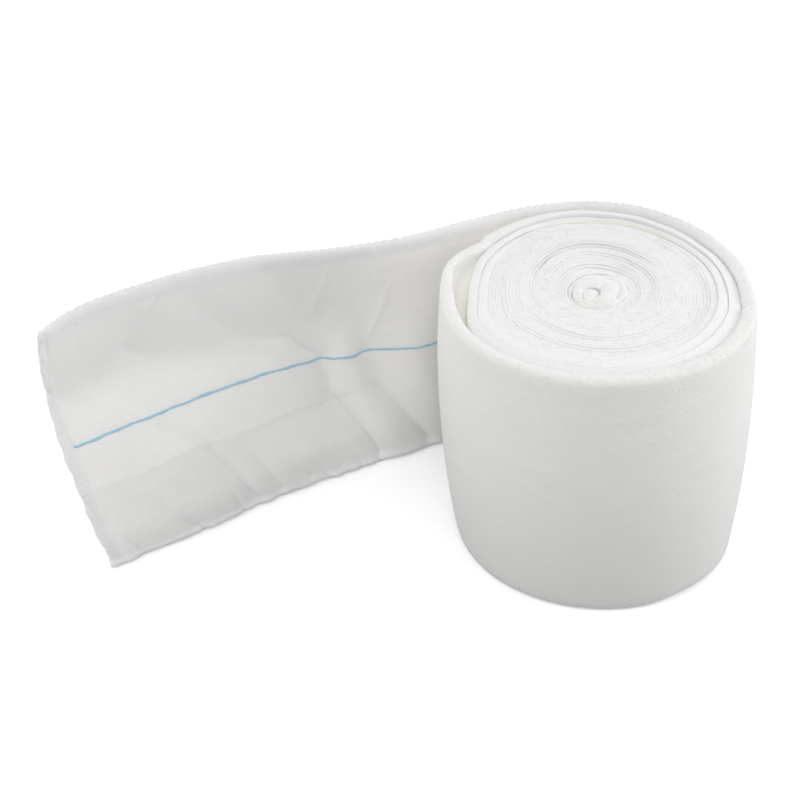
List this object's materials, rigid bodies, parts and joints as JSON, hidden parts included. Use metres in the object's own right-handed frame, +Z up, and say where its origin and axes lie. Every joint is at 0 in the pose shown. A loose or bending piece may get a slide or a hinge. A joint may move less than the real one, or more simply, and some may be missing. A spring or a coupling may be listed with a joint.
{
  "type": "combine dressing roll",
  "caption": "Strip of soft padded dressing wound into a roll that stands on its end, with a slack outer turn and a loose end laid open beside it.",
  "frame": {"origin": "middle of the roll on the flat face it stands on", "axes": "+Z up the roll, -X towards the loose end, -Y towards the side that the loose end's inner face looks to"},
  "size_m": [0.4713, 0.219, 0.2],
  "materials": {
    "padding": "matte"
  },
  "bodies": {
    "root": {"dressing_roll": "padding"}
  },
  "joints": []
}
